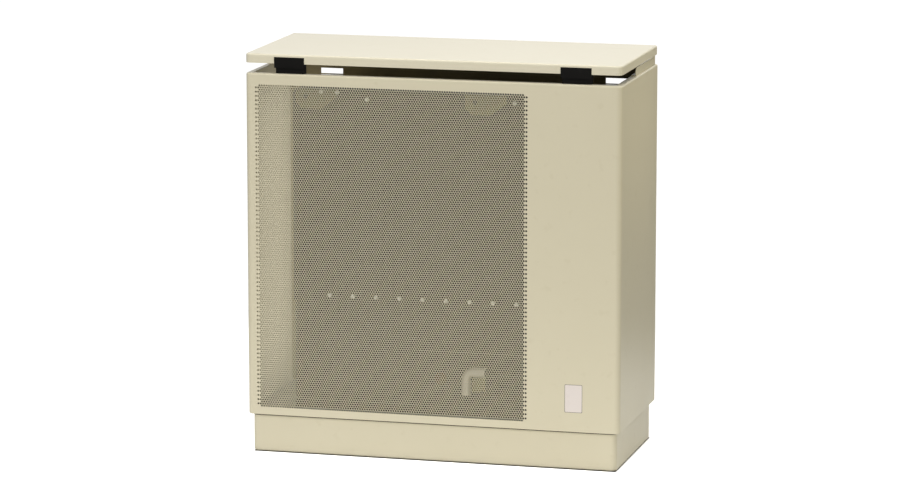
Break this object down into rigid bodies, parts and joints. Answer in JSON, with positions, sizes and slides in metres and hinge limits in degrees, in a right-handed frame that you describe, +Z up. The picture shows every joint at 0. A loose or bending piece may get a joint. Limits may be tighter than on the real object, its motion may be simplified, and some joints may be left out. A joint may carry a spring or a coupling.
{
  "type": "gas convector heater",
  "caption": "Room-sealed gas convector heater: folded steel casing with a perforated front, hinged lid over a warm-air gap, recessed plinth, flue and pipes at the wall side.",
  "frame": {"origin": "on the floor, under the middle of the cabinet's width and depth", "axes": "+X to the right of a person facing the front, +Y from the front to the wall, +Z up"},
  "size_m": [0.62, 0.27, 0.6545],
  "materials": {
    "cream_paint": "satin stoved enamel, cream beige",
    "dark_enamel": "matt heat-resistant black-brown enamel",
    "galvanised": "galvanised sheet",
    "yellow_zinc": "yellow passivated zinc",
    "steel_tube": "drawn steel",
    "black_plastic": "matt black moulding",
    "brass": "machined brass",
    "cast_aluminium": "die-cast aluminium",
    "copper": "drawn copper",
    "gasket_fibre": "pressed mineral fibre",
    "mica": "mica sheet",
    "ceramic": "glazed ceramic",
    "red_rubber": "dull red silicone"
  },
  "bodies": {
    "cabinet": {"air_collar": "galvanised", "air_duct": "galvanised", "back_plate": "dark_enamel", "base_tray": "galvanised", "burner_door": "yellow_zinc", "burner_saddle_left": "galvanised", "burner_saddle_right": "galvanised", "chamber_foot_left": "galvanised", "chamber_foot_right": "galvanised", "combustion_chamber": "dark_enamel", "control_deck": "cream_paint", "door_gasket": "gasket_fibre", "duct_gasket": "gasket_fibre", "exchanger_stay_left": "galvanised", "exchanger_stay_right": "galvanised", "feed_pipe": "steel_tube", "flue_baffle": "dark_enamel", "flue_pipe": "steel_tube", "front_casing": "cream_paint", "front_grille": "cream_paint", "front_rest_left": "black_plastic", "front_rest_right": "black_plastic", "gas_tap": "brass", "gas_valve": "cast_aluminium", "heat_exchanger": "dark_enamel", "hinge_bracket_left": "cream_paint", "hinge_bracket_right": "cream_paint", "hinge_pin_left": "steel_tube", "hinge_pin_right": "steel_tube", "igniter_body": "black_plastic", "ignition_electrode": "ceramic", "ignition_lead": "red_rubber", "injector_holder": "brass", "inlet_union": "brass", "lifting_lug_left": "yellow_zinc", "lifting_lug_right": "yellow_zinc", "main_burner": "steel_tube", "partition": "galvanised", "pilot_burner": "steel_tube", "pilot_tube": "copper", "plinth": "cream_paint", "riser_pipe": "steel_tube", "room_sensor": "copper", "sensor_clip": "black_plastic", "sight_glass": "mica", "sight_ring": "steel_tube", "supply_pipe": "steel_tube", "thermocouple": "copper", "valve_bracket": "galvanised"},
    "lid": {"lid": "cream_paint", "lid_shoe_left": "black_plastic", "lid_shoe_right": "black_plastic", "lid_lug_left": "galvanised", "lid_lug_right": "galvanised"},
    "knob_press": {"spindle_sleeve": "brass"},
    "knob": {"control_knob": "black_plastic", "control_spindle": "brass"},
    "igniter": {"igniter_button": "red_rubber"},
    "tap": {"tap_lever": "red_rubber"}
  },
  "joints": [
    {"name": "lid_hinge", "type": "hinge", "parent": "cabinet", "child": "lid", "pos_m": [0, 0.123, 0.645], "axis": [-1, 0, 0], "range_deg": [0, 90]},
    {"name": "knob_push", "type": "slide", "parent": "cabinet", "child": "knob_press", "axis": [0, 0, -1], "range_m": [0, 0.004], "stiffness_N_per_m": 800, "springref_m": -0.004},
    {"name": "knob_turn", "type": "hinge", "parent": "knob_press", "child": "knob", "pos_m": [0.248, -0.05, 0.59], "axis": [0, 0, 1], "range_deg": [0, 270]},
    {"name": "igniter_push", "type": "slide", "parent": "cabinet", "child": "igniter", "axis": [0, 0, -1], "range_m": [0, 0.008], "stiffness_N_per_m": 900, "springref_m": -0.003},
    {"name": "gas_tap_turn", "type": "hinge", "parent": "cabinet", "child": "tap", "pos_m": [0.248, -0.02, 0.19], "axis": [0, 1, 0], "range_deg": [0, 90]}
  ]
}
